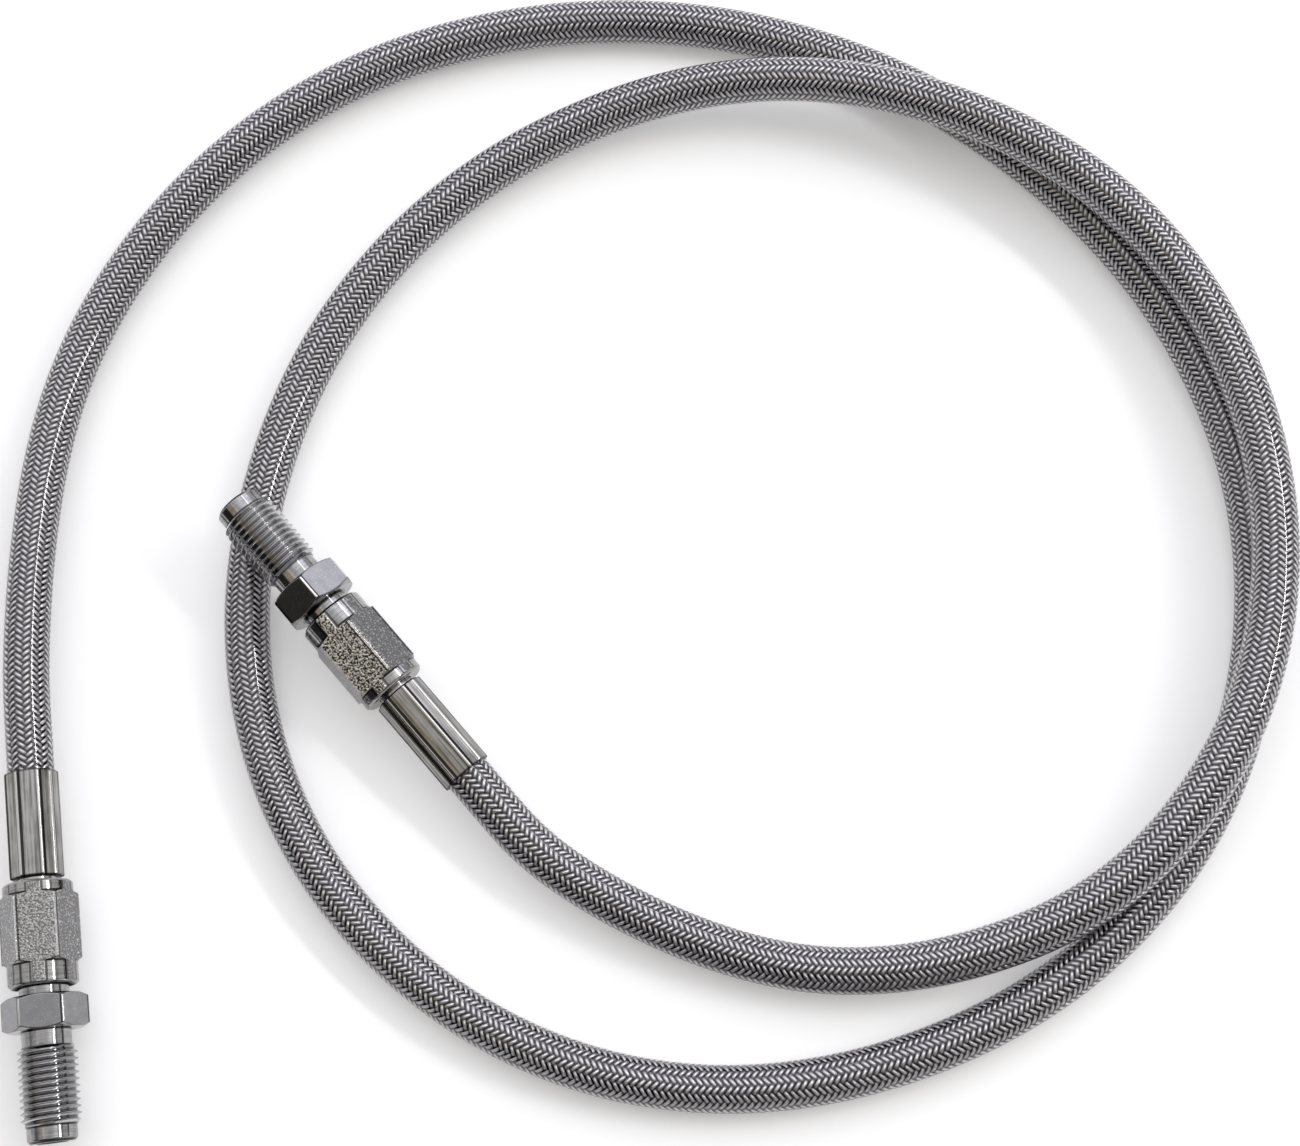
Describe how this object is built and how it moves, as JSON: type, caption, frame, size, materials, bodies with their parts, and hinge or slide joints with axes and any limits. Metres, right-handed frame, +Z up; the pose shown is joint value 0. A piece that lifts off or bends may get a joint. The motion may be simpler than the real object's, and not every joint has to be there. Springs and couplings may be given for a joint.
{
  "type": "hydraulic hose assembly",
  "caption": "Braided hydraulic hose lying in two open turns, with crimped ferrules, hexagonal swivel nuts and threaded adapters with pilot noses on its ends.",
  "frame": {"origin": "on the surface that the assembly lies on, under the middle of its outline", "axes": "+X along the longer side of the coiled hose's outline, +Y along the shorter side, away from the way the first fitting points, +Z up from the surface"},
  "size_m": [0.2165, 0.1951, 0.0181],
  "materials": {
    "liner": "smooth carbon-filled fluoropolymer tube",
    "braid": "bright drawn stainless wire, braided",
    "cover": "clear extruded jacket",
    "stem": "turned and plated",
    "ferrule": "satin plated, crimped",
    "nut": "grained plated flats, turned collars",
    "adapter": "bright plated"
  },
  "bodies": {
    "hose": {"hose_liner": "liner", "hose_braid": "braid", "hose_cover": "cover", "stem_a": "stem", "stem_b": "stem", "ferrule_a": "ferrule", "ferrule_b": "ferrule"},
    "nut_a": {"swivel_nut_a": "nut"},
    "nut_b": {"swivel_nut_b": "nut"},
    "end_a": {"adapter_a": "adapter"},
    "end_b": {"adapter_b": "adapter"}
  },
  "joints": [
    {"name": "swivel_a_spin", "type": "hinge", "parent": "hose", "child": "nut_a", "pos_m": [-0.10256, -0.05754, 0.0066], "axis": [-0.0214, 0.9998, 0], "range_deg": [0, 1620]},
    {"name": "adapter_a_slide", "type": "slide", "parent": "hose", "child": "end_a", "axis": [0.0214, -0.9998, 0], "range_m": [0, 0.00477]},
    {"name": "swivel_b_spin", "type": "hinge", "parent": "hose", "child": "nut_b", "pos_m": [-0.04663, -0.01778, 0.00974], "axis": [0.5682, -0.8168, -0.0994], "range_deg": [0, 1620]},
    {"name": "adapter_b_slide", "type": "slide", "parent": "hose", "child": "end_b", "axis": [-0.5682, 0.8168, 0.0994], "range_m": [0, 0.00477]}
  ],
  "couplings": [
    {"joint": "adapter_a_slide", "follows": "swivel_a_spin", "m_per_rad": 0.00016844},
    {"joint": "adapter_b_slide", "follows": "swivel_b_spin", "m_per_rad": 0.00016844}
  ]
}
